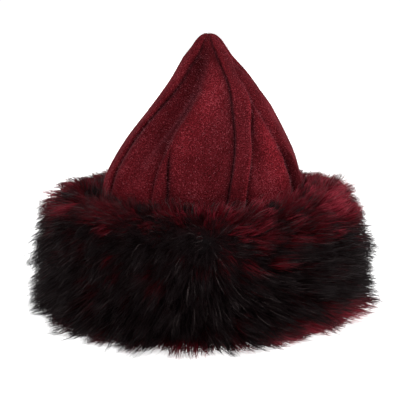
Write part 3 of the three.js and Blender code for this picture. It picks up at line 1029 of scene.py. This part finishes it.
def addPile(values, pieces):
    random = np.random.default_rng(values["seed"])
    azimuth, spot = pileRoots(values, random)
    count = len(azimuth)
    share = spot / (len(pileLine) - 1)
    zone = {name: ease(*ends, spot) for name, ends in pileZones.items()}
    radius, height, length = (smoothColumn(pileLine, name, spot) for name in ("radius", "height", "length"))
    turn = np.radians(azimuth)
    out = np.stack([np.sin(turn), -np.cos(turn), 0 * turn], axis=-1)
    side = np.stack([np.cos(turn), np.sin(turn), 0 * turn], axis=-1)
    up = np.array([0, 0, 1.0])
    tucked = tuck(azimuth, height, tuckValues)
    rootRadius = radius - tuckValues["depth"] * tucked * ease(*tuckValues["radii"], radius)
    root = rootRadius[:, None] * out + height[:, None] * up

    def brushingAndPaintedLight(name):      # how the hairs are brushed there
        return np.interp(azimuth, column(brushing, "azimuth"), column(brushing, name))

    sideways = brushingAndPaintedLight("sideways") * zone["swept"] + softWaves(values["sidewaysWaves"], azimuth, share)
    firstOut, firstUp, lastOut, lastUp = (
        smoothColumn(pileLine, name, spot) for name in ("firstOut", "firstUp", "lastOut", "lastUp"))
    swept = np.clip(np.abs(sideways), 0, 1)
    lastUp = lastUp * (1 - values["sweptUp"] * swept) + brushingAndPaintedLight("raise") * ease(*values["lift"], height)
    lastUp = lastUp + softWaves(values["upWaves"], azimuth, share)
    lastOut = lastOut * (1 - values["sweptOut"] * swept) + softWaves(values["outWaves"], azimuth, share)

    whorl = values["whorl"]
    onTop = spot < whorl["topRows"]         # the top of the band counts as above the whorl
    dx = radius * np.radians(azimuth - whorl["azimuth"])
    dz = height - whorl["height"] + np.where(onTop, whorl["topRadius"] - radius, 0)
    away = np.hypot(dx, dz)
    near = whorl["force"] * np.exp(-((away / whorl["reach"]) ** 2))
    sideways = sideways + near * dx / (away + whorl["eye"])
    lastUp = lastUp + near * dz / (away + whorl["eye"]) * np.where(onTop, whorl["topForce"], 1.0)
    lastOut = lastOut * (1 - whorl["flat"] * near / whorl["force"])

    # single hairs that stand off the rest, more of them over the felt
    single = values["loose"]
    loose = random.random(count) < single["part"] + single["overFelt"] * zone["overFelt"]
    wild = np.where(loose, single["wild"], values["wild"])[:, None]
    first = firstOut[:, None] * out + firstUp[:, None] * up
    first = unit(first + random.normal(0, values["start"], (count, 3)))
    last = lastOut[:, None] * out + lastUp[:, None] * up + sideways[:, None] * side
    last = unit(last + wild * random.normal(0, 1, (count, 3)) + single["out"] * loose[:, None] * out)

    longer = 1 + (brushingAndPaintedLight("length") - 1) * zone["lengthTop"] * zone["lengthHem"]
    longer = longer * (1 + (brushingAndPaintedLight("crest") - 1) * zone["crestLength"])
    size = length * longer * random.uniform(*values["lengths"], count)
    size = size * (1 + softWaves(values["lengthWaves"], azimuth, share))
    size = size * (1 - (1 - tuckValues["length"]) * tucked)
    size = size * (1 - whorl["short"] * bump(away, whorl["reach"] / whorl["shortReach"]))
    size = (size * np.where(loose, single["length"], 1.0))[:, None]

    # clumps, each drawn towards one hair
    tree = KDTree(values["clumps"])
    chosen = random.choice(count, values["clumps"], replace=False)
    for k, hair in enumerate(chosen):
        tree.insert(root[hair], k)
    tree.balance()
    clump = np.array([tree.find(place)[1] for place in root])
    leader = chosen[clump]
    uneven = random.normal(0, values["uneven"], values["clumps"])[clump] * (1 + zone["unevenHem"])
    size = size * np.clip(1 + uneven, *values["unevenRange"])[:, None]
    pull = values["pull"] * random.uniform(*values["pulls"], count) * np.where(loose, single["pull"], 1.0)
    pull = pull * (1 - brushingAndPaintedLight("even") * zone["evenHem"])
    crest = values["crestPull"]
    atSides = (np.abs(azimuth) > crest["from"]) * (np.abs(azimuth) < crest["to"])
    pull = pull + crest["more"] * zone["crestPull"] * atSides

    def along(index, t):
        return root[index] + size[index] * (first[index] * t + 0.5 * (last[index] - first[index]) * t * t)

    everyone = np.arange(count)
    curl = random.normal(0, 1, (count, 3)) * values["curl"] * (1 + zone["overFelt"])[:, None]
    pressed = (1 - brushingAndPaintedLight("loft")) * random.uniform(*values["pressed"], count)
    limit, bend = values["limit"], values["bend"]
    lowest, lowestMore = values["floor"]
    clear, clearMore = values["clear"]
    spine = []
    for t in (*values["stations"], 1.0):
        own, guide = along(everyone, t), along(leader, t)
        place = own + (pull * t ** values["pullBend"])[:, None] * (guide - own)
        place += curl * (sin(pi * t) + values["curlTip"] * t)
        place[:, 2] -= pressed * np.maximum(place[:, 2] - values["crest"], 0)
        place[:, 2] = np.clip(place[:, 2], lowest + lowestMore * random.random(count), values["top"])
        middle = np.interp(place[:, 2], column(crownSections, "height"), column(crownSections, "lean"))
        crown = np.interp(place[:, 2], column(crownSections, "height"), column(crownSections, "radius"))
        r = np.hypot(place[:, 0] - middle, place[:, 1])
        outside = np.maximum(r, crown + clear + clearMore * random.random(count))
        wider = np.where(r > limit, limit + bend * np.tanh((r - limit) / bend), outside) / r
        place[:, 0] = middle + (place[:, 0] - middle) * wider
        place[:, 1] *= wider
        spine.append(place)

    # three-sided hairs round those lines
    hand = unit(np.cross(last, random.normal(0, 1, (count, 3))))
    otherHand = unit(np.cross(last, hand))
    thin = random.uniform(*values["widths"], count)
    # glint hairs: thin grey hairs, partly paler hairs and partly painted glints of light
    shine = values["glint"]
    atFront = zone["crestGlint"] * (np.abs(azimuth) < shine["to"])
    glint = random.random(count) < shine["part"] + shine["crest"] * atFront
    thin = np.where(glint | loose, values["thinnest"], thin)[:, None]
    rings = []
    for place, taper in zip(spine[:-1], values["taper"]):
        half = 0.5 * values["width"] * taper * thin
        rings += [place + half * (cos(t) * hand + sin(t) * otherHand) for t in threeCorners]
    rings.append(spine[-1])
    points = np.stack(rings, axis=1)

    # their colours, and the four pieces
    red = redness(azimuth, height, rednessValues)
    tuft = random.normal(0, values["tuftRed"], values["clumps"])[clump]
    red = red + tuft * (values["tuftBlack"] + red) + random.normal(0, values["hairRed"], count)
    red = np.where(glint, shine["redness"], np.clip(red, *values["reds"]))
    faces = hairFaces()
    v = np.array([0.02, 0.02, 0.02, 0.36, 0.36, 0.36, 0.72, 0.72, 0.72, 0.98])[faces]
    u = np.array([-1, 0, 1, -1, 0, 1, -1, 0, 1, 0])[faces] * values["mapWidth"]
    pieceOf = (azimuth - pieces[0]["from"]) % 360
    made = []
    for piece in pieces:
        start, end = piece["from"] - pieces[0]["from"], piece["to"] - pieces[0]["from"]
        here = np.flatnonzero((pieceOf >= start) & (pieceOf < end))
        corners = (10 * np.arange(len(here)))[:, None, None] + faces
        uvs = np.stack([red[here][:, None, None] + u, np.broadcast_to(v, (len(here), *v.shape))], axis=-1)
        hairs = points[here].reshape(-1, 3)
        made.append(joinedMesh(piece["name"], hairs, corners.reshape(-1, 3), uvs.reshape(-1, 2)))
    return made


longPile = furMaterial(furValues)
for piece in addPile(pileValues, pilePieces):
    piece.data.materials.append(longPile)
    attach(piece, "root")
    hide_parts("fur_cuff")
print("pile ready")
